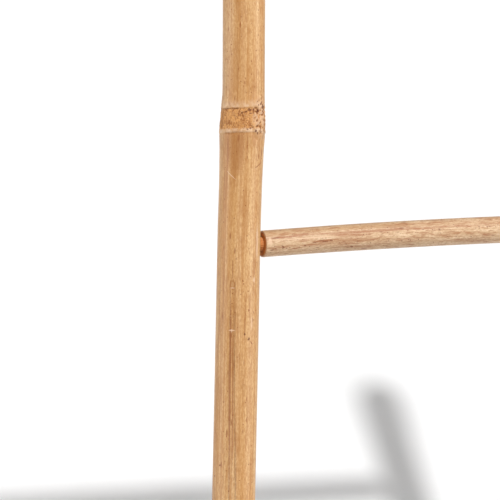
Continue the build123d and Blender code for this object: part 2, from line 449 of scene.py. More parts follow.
class Skin:
    """A culm's surface at some places and turns: its radius, and the marks on it from 0 to 1."""

    MARKS = ("dark", "pale", "cut", "rough")

    def __init__(self, culm, place, turn):
        self.culm, self.place, self.turn = culm, place, turn
        self.scale = culm.scale()
        self.lift = np.zeros_like(place)
        self.slide = np.zeros_like(place)
        self.marks = {name: np.zeros_like(place) for name in self.MARKS}

    def arc(self, turn):
        """How far round the culm each point is from a turn, in millimetres."""
        return wrap(self.turn - turn) * USUAL_RADIUS * self.scale

    def mark(self, name, amount):
        self.marks[name] = np.maximum(self.marks[name], np.clip(amount, 0, 1))


def node_waves(culm, tilt):
    """Each node's rise, and the (size, turn) of the one, two and three waves of its rims round the culm."""
    random = np.random.default_rng(culm.seed)

    def chance_wave(count):
        return random.uniform(0.3, 0.9) / count, random.uniform(0, 2 * np.pi)

    waves = [(0.0, [chance_wave(count) for count in (1, 2, 3)]) for _ in culm.nodes]
    for number, (rise, size, turn) in tilt.items():
        waves[number] = (rise, [(size, turn), *waves[number][1][1:]])
    return waves


def grow_nodes(skin, waves):
    """Rims, notches and the rough band of every node. Also keeps how far each point is from the rims."""
    culm, scale = skin.culm, skin.scale
    skin.below, skin.above = np.full_like(skin.place, 99.0), np.full_like(skin.place, 99.0)
    for number, ((low, high), (rise, wave)) in enumerate(zip(culm.nodes, waves)):
        swing = rise + sum(size * np.cos((k + 1) * (skin.turn - turn)) for k, (size, turn) in enumerate(wave))
        near = bell(skin.place - (low + high) / 2, 34 * scale)
        skin.slide += swing * near * scale
        level = skin.place - swing * near * scale
        under, over = (level - low) / scale, (level - high) / scale
        closer = np.abs(under) < np.abs(skin.below)
        skin.below = np.where(closer, under, skin.below)
        skin.above = np.where(closer, over, skin.above)
        uneven = 0.5 + noise(skin.turn, skin.place, 26, 9.0, culm.seed + number)
        band = smooth_step(under, 0.6, 2.2) * smooth_step(-over, 0.4, 1.8)
        grit = rough_noise(skin.turn, skin.place, 54, 1.9, culm.seed + 31 * number) - 0.55
        skin.lift += scale * (
            -0.20 * bell(under, 4.5)
            - 0.25 * bell(over, 3.6)
            + uneven * (0.42 * bell(under - 0.2, 1.25) + 0.22 * bell(over - 0.3, 1.2))
            - 0.30 * bell(over + 1.8, 0.9)
            - 0.22 * bell(under + 2.4, 0.9)
            + 0.70 * band * grit
        )
        skin.mark("rough", band)


# %% Growth of branches


def grow_bud(skin, node, turn, size, tall=1.0):
    """A trimmed branch's scar beside a node: a low knob with a pitted, pale, rough face."""
    low, high = skin.culm.nodes[node]
    scale, seed = skin.scale * size, skin.culm.seed + 101 + node
    up = (skin.place - skin.slide - (low + 0.62 * (high - low))) / (9.5 * scale * tall)
    across = skin.arc(turn) / (6.5 * scale)
    reach = np.hypot(up, across)
    knob = smooth_step(-reach, -1.25, -0.55)
    grit = rough_noise(skin.turn, skin.place, 60, 1.7, seed)
    skin.lift += scale * knob * (0.1 + 1.5 * (grit - 0.5))
    skin.lift -= scale * 0.35 * bell(reach - 1.22, 0.14) * (0.4 + noise(skin.turn, skin.place, 30, 3.0, seed))
    skin.mark("pale", 0.60 * knob * smooth_step(grit, 0.40, 0.58))
    skin.mark("rough", 0.6 * knob)
    skin.mark("dark", knob * smooth_step(-grit, -0.39, -0.31))


def grow_pits(skin, pits):
    """Small dark holes and chips, each a (place, turn, width, depth)."""
    for place, turn, width, depth in pits:
        wobble = 0.75 + 0.5 * noise(skin.turn, skin.place, 90, 1.1, 5)
        hole = bell(np.hypot(skin.arc(turn), skin.place - place) * wobble, width)
        skin.lift -= depth * hole
        skin.mark("dark", 1.25 * hole * smooth_step(hole, 0.25, 0.6))


def grow_groove(skin, node, turn, reach, depth, lean=0.0, width=2.5):
    """The groove above a bud: deepest at its node, ending in a pointed oval. lean is how far it turns per mm."""
    base = skin.culm.nodes[node][1]
    up = skin.place - base
    share = np.clip(up / reach, 0, 1)
    across = np.abs(skin.arc(turn + lean * (reach - up)) - 0.3 * np.sin(up / 31.0))
    wide = width * skin.scale * (0.95 + 0.4 * (1 - share) ** 2)
    inside = smooth_step(up, 2, 14) * smooth_step(reach - up, 0, 5)
    floor = smooth_step(-across, -wide - 0.6, -wide + 0.5) * inside
    edge = bell(across - wide, 0.6) * inside
    skin.lift += depth * (0.45 + 0.55 * (1 - share)) * (0.35 * edge - floor)
    # Painted shade: the groove's edges are darkened in colour, to show a dip that its shape alone hardly shows.
    skin.mark("dark", (0.12 + 0.55 * noise(skin.turn, skin.place, 40, 17.0, skin.culm.seed)) * edge)
    tip = np.hypot(across / 2.6, (up - reach - 1.0) / 4.8)
    skin.lift += depth * (0.5 * bell(tip - 1, 0.22) - 0.35 * smooth_step(-tip, -0.9, -0.4))
    # Painted shade: a dark line round the groove's pointed tip.
    skin.mark("dark", 0.30 * bell(tip - 1, 0.2))


def grow_shape(skin):
    """The slow unevenness of a natural culm: a little oval, a little wavy, with faint ribs."""
    seed = skin.culm.seed + 55
    oval = np.cos(2 * (skin.turn - seed)) * 0.10
    waves = noise(skin.turn, skin.place, 4, 90.0, seed) - 0.5
    ribs = noise(skin.turn, skin.place, 46, 160.0, seed) - 0.5
    skin.lift += skin.scale * (oval + 0.30 * waves + 0.07 * ribs - 0.12)


# %% [markdown]
# ## Each culm's own history
# No two culms are alike. The left pole and the third rung are seen closest, so their marks are placed one by one,
# as a carver would copy a real stick. The others get their buds, grooves, nicks and stains at random, from a
# fixed seed, so that they come out the same each time. Turns on a pole are counted here in degrees to the right
# of the line that faces the camera.

# %% Marks on the left pole
POLE_FRONT = math.atan2(towards_camera[1], towards_camera[0])
RUNG_FRONT = math.pi


def pole_turn(degrees):
    """A pole's turn from degrees to the right of the line that faces the front left."""
    return POLE_FRONT + math.radians(degrees)


def grow_left_pole(skin):
    """The left pole's trimmed branch beside its fourth node, its grooves, and its larger pits."""
    grow_bud(skin, 3, pole_turn(56), 1.75, 1.15)
    grow_bud(skin, 2, pole_turn(-8), 0.9)
    grow_groove(skin, 2, pole_turn(-15.5), 236.0, 0.75, 0.0009)
    grow_bud(skin, 1, pole_turn(165), 0.9)
    grow_groove(skin, 1, pole_turn(165), 210.0, 0.8)
    pits = [(1119.6, 63, 1.3, 0.9), (1116.0, 64, 1.0, 0.8), (1116.1, 43, 1.1, 0.8), (1097.0, 36, 0.9, 0.6)]
    grow_pits(skin, [(place, pole_turn(turn), width, depth) for place, turn, width, depth in pits])


def grow_at_random(skin, angles):
    """Buds and grooves on alternate sides of the culm, and small pits in the bands."""
    random = np.random.default_rng(skin.culm.seed + 77)
    ends = [low for low, high in skin.culm.nodes[1:]] + [skin.culm.length]
    for node, ((low, high), end) in enumerate(zip(skin.culm.nodes, ends)):
        turn = angles[node % 2] + random.uniform(-0.3, 0.3)
        room = end - high - 30
        grow_bud(skin, node, turn, random.uniform(0.6, 0.95))
        if room > 60:
            reach, depth = room * random.uniform(0.35, 0.7), random.uniform(0.4, 0.8) * skin.scale
            grow_groove(skin, node, turn, reach, depth)
        for _ in range(7):
            pit = (random.uniform(low - 2, high + 3), random.uniform(0, 2 * np.pi), random.uniform(0.4, 0.9))
            grow_pits(skin, [(*pit, 0.5 * skin.scale)])


# %% Growing a whole culm


def grow(culm, place, turn):
    """The skin of a culm at places and turns, in the way that its kind and its history give."""
    skin = Skin(culm, place, turn)
    tilt = {3: (1.9, 2.1, POLE_FRONT)} if culm.node == "left_pole" else {}
    grow_nodes(skin, node_waves(culm, tilt))
    grow_shape(skin)
    if culm.node == "left_pole":
        grow_left_pole(skin)
    elif culm.node in POLES:
        grow_at_random(skin, (pole_turn(-150), pole_turn(40)))
    else:
        grow_at_random(skin, (RUNG_FRONT - 0.6, RUNG_FRONT + 2.2))
    skin.radius = culm.radius(np.clip(place - skin.slide, 0, culm.length)) + skin.lift
    skin.radius = np.minimum(skin.radius, culm.widest(place) - 0.02)
    return skin


# %% [markdown]
# ## Meshing a culm
# The mesh is one closed net: rings of points that start in the middle of the wall inside the foot, come out over
# the sawn end, run up the skin and go in again at the top. Rings are close together at nodes and joints, where
# there is detail, and far apart between them. At a rung's ends the net goes into the bored hole for the dowel.

# %% Spacing of the rings
SAWN_CHAMFER = 0.5
FINE, CLOSE, OPEN = 0.75, 1.8, 6.0


def ring_places(culm, closeups, around):
    """Places along the skin, near enough together for what is there."""
    scale = culm.scale()
    places, place = [], SAWN_CHAMFER
    while place < culm.length - SAWN_CHAMFER:
        places.append(place)
        rim = min((abs(place - r) for pair in culm.nodes for r in pair), default=99.0)
        within = any(low - 1 < place < high + 1 for low, high in culm.nodes)
        detail = any(low < place < high for low, high in closeups)
        end = min(place, culm.length - place)
        step = FINE if rim < 5 * scale else CLOSE if rim < 26 * scale else OPEN
        if within:
            step = min(step, 1.0)
        if detail:
            step = min(step, 1.15)
        if end < 6:
            step = min(step, 1.2)
        place += step * around
    return np.array(places + [culm.length - SAWN_CHAMFER])


def sawn_end(culm, place, inwards, hollow, depth):
    """Rings over a sawn end, from the skin's edge in to the middle of the hollow, as (place, reach)."""
    edge = culm.radius(np.array([place]))[0]
    wall = np.linspace(1.0, 0.0, 7)
    rings = [(place, hollow + (edge - SAWN_CHAMFER - hollow) * share) for share in wall]
    rings += [(place + inwards * d, hollow - 0.25) for d in (0.35, depth * 0.33, depth * 0.66, depth - 1.0)]
    rings += [(place + inwards * (depth - 0.3), hollow - 1.2)]
    rings += [(place + inwards * (depth + 0.05 * k), (hollow - 1.2) * (1 - k / 6)) for k in range(1, 6)]
    return rings


# %% [markdown]
# A hole is cut in the finished net without any boolean: the faces inside the hole's circle are taken away, the
# loop of points left round the gap is moved onto the circle, and the loop is drawn into the wood and closed.

# %% Drilling a hole


def onto_skin(culm, point):
    """A point in metres, moved out or in to the culm's skin."""
    place, turn, _ = culm.locate(np.array(point)[None])
    return Vector(culm.points(place, turn, grow(culm, place, turn).radius)[0])


def drill(mesh, culm, centre, axis, radius, depth):
    """Drills a blind hole in a culm's mesh at centre, going in along axis. Sizes are in metres."""
    centre, axis = Vector(centre), Vector(axis).normalized()

    def offset(point):
        away = point - centre
        return away - axis * away.dot(axis)

    near = [v for v in mesh.verts if abs((v.co - centre).dot(axis)) < 5 * MM]
    inside = [v for v in near if offset(v.co).length < radius]
    bmesh.ops.delete(mesh, geom=inside, context="VERTS")
    rim_edges = [e for e in mesh.edges if e.is_boundary]
    for corner in {v for e in rim_edges for v in e.verts}:
        away = offset(corner.co)
        corner.co = onto_skin(culm, corner.co + away * (radius / away.length - 1))
    for drop in (0.4 * MM, depth - 0.4 * MM):
        drawn = bmesh.ops.extrude_edge_only(mesh, edges=rim_edges)["geom"]
        rim_edges = [g for g in drawn if isinstance(g, bmesh.types.BMEdge) and g.is_boundary]
        moved = [g for g in drawn if isinstance(g, bmesh.types.BMVert)]
        for corner in moved:
            corner.co += axis * drop
    for corner in moved:
        corner.co -= axis * ((corner.co - centre).dot(axis) - depth)
    bmesh.ops.contextual_create(mesh, geom=rim_edges)


# %% [markdown]
# The finish needs to know where on the culm it is. Four sets of numbers are left on the mesh's points for it:
# growth is a place in a straightened copy of the culm, so that grain always runs along it; rims is how far the
# point is below and above its node's rims; and marks and stain are what grew there.

# %% Building the mesh


def leave_numbers(mesh, culm):
    """Works out where each point of a finished mesh is on its culm, and leaves the finish's numbers there."""
    flat = np.empty(len(mesh.vertices) * 3)
    mesh.vertices.foreach_get("co", flat)
    place, turn, reach = culm.locate(flat.reshape(-1, 3))
    skin = grow(culm, np.clip(place, 0, culm.length), turn)
    lost = skin.radius - reach
    inside = smooth_step(lost, 0.35, 0.9)
    skin.marks["cut"] = inside
    straight = [reach * np.cos(turn), reach * np.sin(turn), place]
    sets = {
        "growth": straight,
        "rims": [skin.below, skin.above, lost],
        "marks": [skin.marks["dark"] * (1 - inside), skin.marks["pale"] * (1 - inside), inside],
        "stain": [skin.marks["rough"], np.zeros_like(place), np.zeros_like(place)],
    }
    for name, columns in sets.items():
        layer = mesh.attributes.new(name, "FLOAT_VECTOR", "POINT")
        layer.data.foreach_set("vector", np.stack(columns, axis=1).astype(np.float32).ravel())


def mark_sharp(mesh, degrees=38.0):
    """Smooth shading, with creases where two faces meet at more than an angle."""
    net = bmesh.new()
    net.from_mesh(mesh)
    for face in net.faces:
        face.smooth = True
    for edge in net.edges:
        edge.smooth = not (edge.is_manifold and edge.calc_face_angle(0.0) > math.radians(degrees))
    net.to_mesh(mesh)
    net.free()


def ring_faces(rings, around):
    """The faces between rings of points, and the fans that close both ends on two points after the last ring."""
    faces = [
        (i * around + j, i * around + (j + 1) % around, (i + 1) * around + (j + 1) % around, (i + 1) * around + j)
        for i in range(rings - 1)
        for j in range(around)
    ]
    first, last = rings * around, rings * around + 1
    faces += [(first, (j + 1) % around, j) for j in range(around)]
    faces += [(last, (rings - 1) * around + j, (rings - 1) * around + (j + 1) % around) for j in range(around)]
    return faces


def build_culm(culm, around, stretch, hollow, depths, closeups, holes):
    """One closed mesh for a culm. depths are how deep the foot's and the top's hollows are."""
    places = ring_places(culm, closeups, stretch)
    turns = np.linspace(0, 2 * np.pi, around, endpoint=False)
    place, turn = np.meshgrid(places, turns, indexing="ij")
    reach = grow(culm, place, turn).radius
    first = sawn_end(culm, 0.0, 1, hollow, depths[0])[::-1]
    last = sawn_end(culm, culm.length, -1, hollow, depths[1])
    rows = [(np.full(around, p), turns, np.full(around, r)) for p, r in first]
    rows += [(p, t, r) for p, t, r in zip(place, turn, reach)]
    rows += [(np.full(around, p), turns, np.full(around, r)) for p, r in last]
    corners = np.concatenate([culm.points(*row) for row in rows])
    poles = culm.points(np.array([first[0][0], last[-1][0]]), np.zeros(2), np.zeros(2))
    mesh = bpy.data.meshes.new(f"{culm.node}_culm")
    mesh.from_pydata(np.concatenate([corners, poles]).tolist(), [], ring_faces(len(rows), around))
    net = bmesh.new()
    net.from_mesh(mesh)
    for hole in holes:
        drill(net, culm, *hole)
    net.to_mesh(mesh)
    net.free()
    mark_sharp(mesh)
    leave_numbers(mesh, culm)
    piece = bpy.data.objects.new(mesh.name, mesh)
    scene.collection.objects.link(piece)
    return piece


MOST_TRIANGLES = 200_000


def check_closed(piece):
    """Prints a piece's size and stops if its mesh has an open or a doubled edge."""
    net = bmesh.new()
    net.from_mesh(piece.data)
    open_edges = sum(not e.is_manifold for e in net.edges)
    triangles = sum(len(f.verts) - 2 for f in net.faces)
    volume = net.calc_volume(signed=True) / MM**3
    net.free()
    print(f"{piece.name}: {triangles} triangles, {volume:.0f} cubic mm, {open_edges} open edges")
    assert open_edges == 0 and volume > 0 and triangles < MOST_TRIANGLES


def take_place(piece, node):
    """Puts a finished piece in the place of its CAD node."""
    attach(piece, "root")
    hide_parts(node)
    check_closed(piece)


# %% [markdown]
# ## The poles
# Each pole has a hole for every dowel, on the side of the rungs, and a small one at the back for every nail head.
# The holes are found from the boxes of the CAD dowels and nails.

# %% Poles
POLE_AROUND = 150
POLE_HOLLOW = 14.3
POLE_DEPTHS = (18.0, 20.0)
DOWEL_HOLE = 7.1 * MM
NAIL_HOLE = 2.05 * MM
NAIL_SEAT = 0.5 * MM


def pole_holes(node, word, inwards):
    """The dowel holes and nail seats of a pole, as drill wants them."""
    holes = []
    for rung in RUNGS:
        left, right = middle_of(f"{rung}_dowel_left"), middle_of(f"{rung}_dowel_right")
        line = unit(right - left) * inwards
        nail_low, nail_high = (np.array(corner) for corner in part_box(f"{rung}_nail_{word}"))
        nail = (nail_low + nail_high) / 2
        heart = left + (right - left) * (nail[0] - left[0]) / (right[0] - left[0])
        radius = culms[node].radius(np.array([heart[2] / MM]))[0] * MM
        holes.append((heart - line * radius, line, DOWEL_HOLE, 2 * radius - 5 * MM))
        back = np.array([nail[0], nail_high[1] - 0.3 * MM, nail[2]])
        holes.append((back, (0, -1, 0), NAIL_HOLE, NAIL_SEAT + 2 * MM))
    return holes


pieces = {}
for node, word, inwards in (("left_pole", "left", -1), ("right_pole", "right", 1)):
    holes = pole_holes(node, word, inwards)
    levels = [hole[0][2] / MM for hole in holes[::2]]
    closeups = [(level - 11, level + 11) for level in levels] + ([(1046, 1070)] if node == "left_pole" else [])
    pieces[node] = build_culm(culms[node], POLE_AROUND, 1.0, POLE_HOLLOW, POLE_DEPTHS, closeups, holes)
    take_place(pieces[node], node)

# %% [markdown]
# ## The rungs
# A rung is cut square and bored. Its sawn face shows beside the pole, because the round pole and the flat end
# only come close along one line.

# %% Rungs
RUNG_AROUND = 120
RUNG_BORE = 7.35
RUNG_DEPTH = 44.5

for node in RUNGS:
    pieces[node] = build_culm(culms[node], RUNG_AROUND, 0.8, RUNG_BORE, (RUNG_DEPTH, RUNG_DEPTH), [], [])
    take_place(pieces[node], node)

# %% [markdown]
# ## How the finishes are made
# Bamboo skin is smooth and hard, with long fibres just under it, so its colour comes in fine streaks along the
# culm. Over them lie stains, flecks, the pale wax that young culms carry near their nodes, and the marks of
# handling. Each effect is a small network of its own that gives a mask, a colour or a height, and the materials
# mix them. Everything is placed by the growth numbers left on the meshes, in millimetres along a straight culm.

# %% Short ways to write shader networks


class Net:
    """A shader network, with short ways to add to it. A value may be a number or another part's output."""

    def __init__(self, tree):
        self.tree = tree

    def add(self, kind, inputs=None, **settings):
        part = self.tree.nodes.new(kind)
        for name, setting in settings.items():
            setattr(part, name, setting)
        for name, value in (inputs or {}).items():
            self.feed(part.inputs[name], value)
        return part

    def feed(self, socket, value):
        if isinstance(value, bpy.types.NodeSocket):
            self.tree.links.new(value, socket)
        else:
            socket.default_value = value

    def math(self, operation, *values):
        return self.add("ShaderNodeMath", dict(enumerate(values)), operation=operation).outputs[0]

    def times(self, first, second):
        return self.math("MULTIPLY", first, second)

    def plus(self, first, second):
        return self.math("ADD", first, second)

    def minus(self, first, second):
        return self.math("SUBTRACT", first, second)

    def over(self, first, second):
        return self.math("DIVIDE", first, second)

    def larger(self, first, second):
        return self.math("MAXIMUM", first, second)

    def combine(self, x, y, z):
        return self.add("ShaderNodeCombineXYZ", {0: x, 1: y, 2: z}).outputs[0]

    def scaled(self, place, sizes):
        return self.vector("MULTIPLY", place, sizes)

    def vector(self, operation, *values, out="Vector"):
        return self.add("ShaderNodeVectorMath", dict(enumerate(values)), operation=operation).outputs[out]

    def step(self, value, low, high, start=0.0, end=1.0):
        """A smooth rise from start to end, as value goes from low to high."""
        inputs = {"Value": value, "From Min": low, "From Max": high, "To Min": start, "To Max": end}
        return self.add("ShaderNodeMapRange", inputs, interpolation_type="SMOOTHSTEP").outputs[0]

    def mix(self, share, first, second, blend="MIX"):
        part = self.add("ShaderNodeMix", {0: share, 6: first, 7: second}, data_type="RGBA", blend_type=blend)
        return part.outputs[2]

    def split(self, value):
        return self.add("ShaderNodeSeparateXYZ", {0: value}).outputs

    def noise(self, place, detail=3.0, rough=0.55):
        inputs = {"Vector": place, "Scale": 1.0, "Detail": detail, "Roughness": rough}
        return self.add("ShaderNodeTexNoise", inputs).outputs[0]

    def grouped(self, tree, inputs):
        part = self.add("ShaderNodeGroup", node_tree=tree)
        for name, value in inputs.items():
            self.feed(part.inputs[name], value)
        return part.outputs


SOCKETS = {"value": "NodeSocketFloat", "vector": "NodeSocketVector", "color": "NodeSocketColor"}


def new_effect(name, inputs, outputs):
    """An empty shader group with named sockets. Gives the group, its network, its inputs and its outputs."""
    tree = bpy.data.node_groups.new(name, "ShaderNodeTree")
    for socket, (kind, default) in inputs.items():
        made = tree.interface.new_socket(socket, in_out="INPUT", socket_type=SOCKETS[kind])
        made.default_value = default
    for socket, kind in outputs.items():
        tree.interface.new_socket(socket, in_out="OUTPUT", socket_type=SOCKETS[kind])
    net = Net(tree)
    return tree, net, net.add("NodeGroupInput").outputs, net.add("NodeGroupOutput").inputs


def tone(red, green, blue):
    """A colour as a printer would give it, from 0 to 255, made ready for the shader."""
    return (*(((v / 255 + 0.055) / 1.055) ** 2.4 for v in (red, green, blue)), 1.0)


# %% [markdown]
# ### Streaks
# Noise squeezed across the grain and stretched along it. Wide, long streaks give the slow change of colour
# round a culm, and narrow ones its fibres.

# %% Streaks
streaks, net, start, end = new_effect(
    "Streaks along the grain",
    {
        "Growth": ("vector", (0, 0, 0)),
        "Width": ("value", 2.0),
        "Length": ("value", 100.0),
        "Shift": ("value", 0.0),
    },
    {"Streaks": "value"},
)
across = net.over(1.0, start["Width"])
along = net.over(1.0, start["Length"])
stretch = net.combine(across, across, along)
squeezed = net.scaled(start["Growth"], stretch)
moved = net.vector("ADD", squeezed, net.combine(start["Shift"], 3.7, start["Shift"]))
net.feed(end["Streaks"], net.step(net.noise(moved), 0.30, 0.70))

# %% [markdown]
# ### Flecks
# Little elongated spots, where the skin was nicked or a fungus touched it: one in each cell of a Voronoi
# pattern, and only in the share of the cells that the amount allows.

# %% Flecks
flecks, net, start, end = new_effect(
    "Flecks",
    {
        "Growth": ("vector", (0, 0, 0)),
        "Size": ("value", 3.0),
        "Stretch": ("value", 3.0),
        "Amount": ("value", 0.2),
        "Shift": ("value", 0.0),
    },
    {"Flecks": "value"},
)
across = net.over(1.0, start["Size"])
along = net.over(across, start["Stretch"])
stretch = net.combine(across, across, along)
squeezed = net.scaled(start["Growth"], stretch)
moved = net.vector("ADD", squeezed, net.combine(start["Shift"], 9.1, 4.3))
cells = net.add("ShaderNodeTexVoronoi", {"Vector": moved, "Scale": 1.0, "Randomness": 1.0}).outputs
chance = net.split(cells["Color"])[0]
reach = net.times(chance, 0.42)
chosen = net.math("GREATER_THAN", chance, net.minus(1.0, start["Amount"]))
ragged = net.plus(cells["Distance"], net.times(net.noise(moved), 0.18))
spot = net.step(ragged, net.times(reach, 0.55), reach, 1.0, 0.0)
net.feed(end["Flecks"], net.times(spot, chosen))

# %% [markdown]
# ### Mottle
# Short, broken dashes along the grain and a fine grain between them, which old, weathered skin shows.

# %% Mottle
mottle, net, start, end = new_effect(
    "Mottle",
    {"Growth": ("vector", (0, 0, 0)), "Shift": ("value", 0.0)},
    {"Dashes": "value", "Grain": "value"},
)
moved = net.vector("ADD", start["Growth"], net.combine(start["Shift"], start["Shift"], 31.0))
dash = net.noise(net.scaled(moved, (0.6, 0.6, 0.11)), 4.0, 0.7)
area = net.noise(net.scaled(moved, (0.12, 0.12, 0.022)), 2.0)
net.feed(end["Dashes"], net.step(net.plus(dash, net.times(area, 0.35)), 0.66, 0.80))
grain = net.noise(net.scaled(moved, (0.75, 0.75, 0.32)), 3.0, 0.7)
net.feed(end["Grain"], net.step(grain, 0.32, 0.68))

# %% [markdown]
# ### Single marks
# A scratch, a nick or a short crack at a known place: an ellipse on the skin, with a slant and a ragged edge.
# Its place is in millimetres along the culm, its turn in degrees round it, and its length and width in
# millimetres.

# %% Single marks
single_mark, net, start, end = new_effect(
    "Single mark",
    {
        "Growth": ("vector", (0, 0, 0)),
        "Place": ("value", 0.0),
        "Turn": ("value", 0.0),
        "Length": ("value", 5.0),
        "Width": ("value", 1.0),
        "Slant": ("value", 0.0),
        "Ragged": ("value", 0.3),
    },
    {"Mark": "value"},
)
x, y, s = net.split(start["Growth"])
turn = net.math("ARCTAN2", y, x)
apart = net.minus(turn, net.math("RADIANS", start["Turn"]))
apart = net.math("WRAP", apart, math.pi, -math.pi)
across = net.times(apart, net.vector("LENGTH", net.combine(x, y, 0.0), out="Value"))
along = net.minus(s, start["Place"])
lean = net.math("RADIANS", start["Slant"])
turned_across = net.minus(net.times(across, net.math("COSINE", lean)), net.times(along, net.math("SINE", lean)))
turned_along = net.plus(net.times(across, net.math("SINE", lean)), net.times(along, net.math("COSINE", lean)))
wide = net.over(turned_across, net.times(start["Width"], 0.5))
long = net.over(turned_along, net.times(start["Length"], 0.5))
reach = net.vector("LENGTH", net.combine(wide, long, 0.0), out="Value")
ragged = net.times(net.minus(net.noise(start["Growth"], 2.0), 0.5), net.times(start["Ragged"], 4.0))
net.feed(end["Mark"], net.step(net.plus(reach, ragged), 0.55, 1.15, 1.0, 0.0))

# %% [markdown]
# ### Wax
# Pale wax and old sheath fibres cling just above each upper rim and on the lower rim, in patches.

# %% Wax
wax, net, start, end = new_effect(
    "Wax near the nodes",
    {"Growth": ("vector", (0, 0, 0)), "Below": ("value", 99.0), "Above": ("value", 99.0)},
    {"Wax": "value"},
)
patches = net.step(net.noise(net.scaled(start["Growth"], (0.22, 0.22, 0.16)), 3.0), 0.36, 0.62, 0.25, 1.0)
torn = net.times(net.minus(net.noise(net.scaled(start["Growth"], (0.5, 0.5, 0.3))), 0.5), 3.0)
ragged = net.plus(start["Above"], torn)
fresh = net.times(net.step(ragged, -0.9, 0.4), net.step(start["Above"], 0.8, 9.0, 0.75, 0.0))
lower = net.step(net.plus(start["Below"], torn), 1.2, 3.0, 0.8, 0.0)
lower = net.times(net.step(start["Below"], -1.9, -0.7), lower)
lower = net.times(lower, net.step(patches, 0.25, 0.9, 0.35, 1.0))
net.feed(end["Wax"], net.larger(net.times(fresh, patches), lower))

# %% [markdown]
# ### Rough bark of the node band
# Between the rims the skin is a rough, rusty crust: rusty brown with darker pores and pale crumbs.

# %% Band crust
crust, net, start, end = new_effect(
    "Band crust",
    {
        "Growth": ("vector", (0, 0, 0)),
        "Light": ("color", tone(206, 150, 92)),
        "Dark": ("color", tone(150, 90, 42)),
        "Crumb": ("color", tone(222, 184, 140)),
    },
    {"Color": "color", "Height": "value"},
)
coarse = net.noise(net.scaled(start["Growth"], (0.24, 0.24, 0.14)), 2.0)
fine = net.noise(net.scaled(start["Growth"], (0.85, 0.85, 0.62)), 3.0, 0.65)
blend = net.plus(net.times(coarse, 0.45), net.times(fine, 0.55))
color = net.mix(net.step(blend, 0.36, 0.60), start["Dark"], start["Light"])
crumbs = net.step(net.noise(net.scaled(start["Growth"], (1.1, 1.1, 1.0)), 2.0), 0.60, 0.70)
net.feed(end["Color"], net.mix(net.times(crumbs, 0.8), color, start["Crumb"]))
net.feed(end["Height"], net.plus(fine, net.times(crumbs, 0.4)))

# %% [markdown]
# ### Sawn wood
# Where a culm is sawn, the ends of its fibre bundles show as small dark dots, here spread evenly, though on a
# real culm they lie closer together towards the skin.

# %% Sawn wood
sawn, net, start, end = new_effect(
    "Sawn culm wood",
    {
        "Growth": ("vector", (0, 0, 0)),
        "Light": ("color", tone(206, 160, 104)),
        "Dark": ("color", tone(132, 82, 42)),
    },
    {"Color": "color", "Height": "value"},
)
flat = net.scaled(start["Growth"], (1.0, 1.0, 0.35))
dots = net.add("ShaderNodeTexVoronoi", {"Vector": flat, "Scale": 1.1, "Randomness": 0.8}).outputs["Distance"]
bundle = net.step(dots, 0.18, 0.42, 1.0, 0.0)
rubbed = net.noise(net.scaled(start["Growth"], (0.5, 0.5, 0.5)), 4.0)
color = net.mix(net.step(rubbed, 0.3, 0.7, 0.0, 0.45), start["Light"], start["Dark"])
net.feed(end["Color"], net.mix(net.times(bundle, 0.6), color, start["Dark"]))
net.feed(end["Height"], net.minus(rubbed, net.times(bundle, 0.5)))

# %% [markdown]
# ## Bamboo finish
# The poles and the rungs share one recipe with different tones. Each culm is painted paler towards one side:
# painted light, not a tone of the wood. A culm has a thin clear lacquer over a skin that is only half glossy.

# %% Bamboo finish


def reading(net, name):
    """A set of numbers left on the mesh."""
    return net.add("ShaderNodeAttribute", attribute_name=name, attribute_type="GEOMETRY").outputs["Vector"]


def streaked(net, growth, width, length, shift):
    """Streaks of one width and length, in millimetres."""
    return net.grouped(streaks, {"Growth": growth, "Width": width, "Length": length, "Shift": shift})[0]


def flecked(net, growth, size, stretch, amount, shift):
    """Flecks in a share of cells of one size, in millimetres."""
    inputs = {"Growth": growth, "Size": size, "Stretch": stretch, "Amount": amount, "Shift": shift}
    return net.grouped(flecks, inputs)[0]


def skin_color(net, growth, look):
    """The clean skin: a slow change of tone round and along the culm, painted light on one side, streaks and
    fibres.
    """
    slow = streaked(net, growth, 26.0, 240.0, look["shift"])
    color = net.mix(slow, look["tan"], look["pale"])
    x, y, _ = net.split(growth)
    # Painted light: the skin is mixed towards its pale tone on the side of the culm that faces a given turn.
    lit, radius = math.radians(look["painted_light_turn"]), look["radius"]
    facing = net.plus(net.times(x, math.cos(lit) / radius), net.times(y, math.sin(lit) / radius))
    color = net.mix(net.step(facing, -0.35, 0.95, 0.0, look["painted_light_share"]), color, look["pale"])
    medium = streaked(net, growth, 2.6, 150.0, look["shift"] + 5)
    color = net.mix(net.step(medium, 0.0, 1.0, look["streaky"], 0.0), color, look["streak"])
    thin = streaked(net, growth, 0.8, 60.0, look["shift"] + 9)
    color = net.mix(net.step(thin, 0.0, 0.55, look["streaky"], 0.0), color, look["streak"])
    light = streaked(net, growth, 1.2, 90.0, look["shift"] + 14)
    color = net.mix(net.step(light, 0.6, 1.0, 0.0, 0.3), color, look["glint"])
    worn = net.grouped(mottle, {"Growth": growth, "Shift": look["shift"]})
    color = net.mix(net.times(worn["Dashes"], look["dashes"]), color, look["stain"])
    color = net.mix(net.step(worn["Grain"], 0.0, 1.0, look["grain"], 0.0), color, look["streak"])
    return color, medium, thin


def stained(net, color, growth, look):
    """Brown stains in long patches, and scattered flecks."""
    patch = streaked(net, growth, 7.0, 55.0, look["shift"] + 21)
    color = net.mix(net.step(patch, 0.66, 1.0, 0.0, look["stains"]), color, look["stain"])
    long_flecks = flecked(net, growth, 3.6, 4.0, look["flecks"], look["shift"])
    round_flecks = flecked(net, growth, 2.4, 1.3, look["flecks"] * 0.7, 3.0)
    spots = net.larger(net.times(long_flecks, 0.65), net.times(round_flecks, 0.75))
    return net.mix(spots, color, look["fleck"]), spots


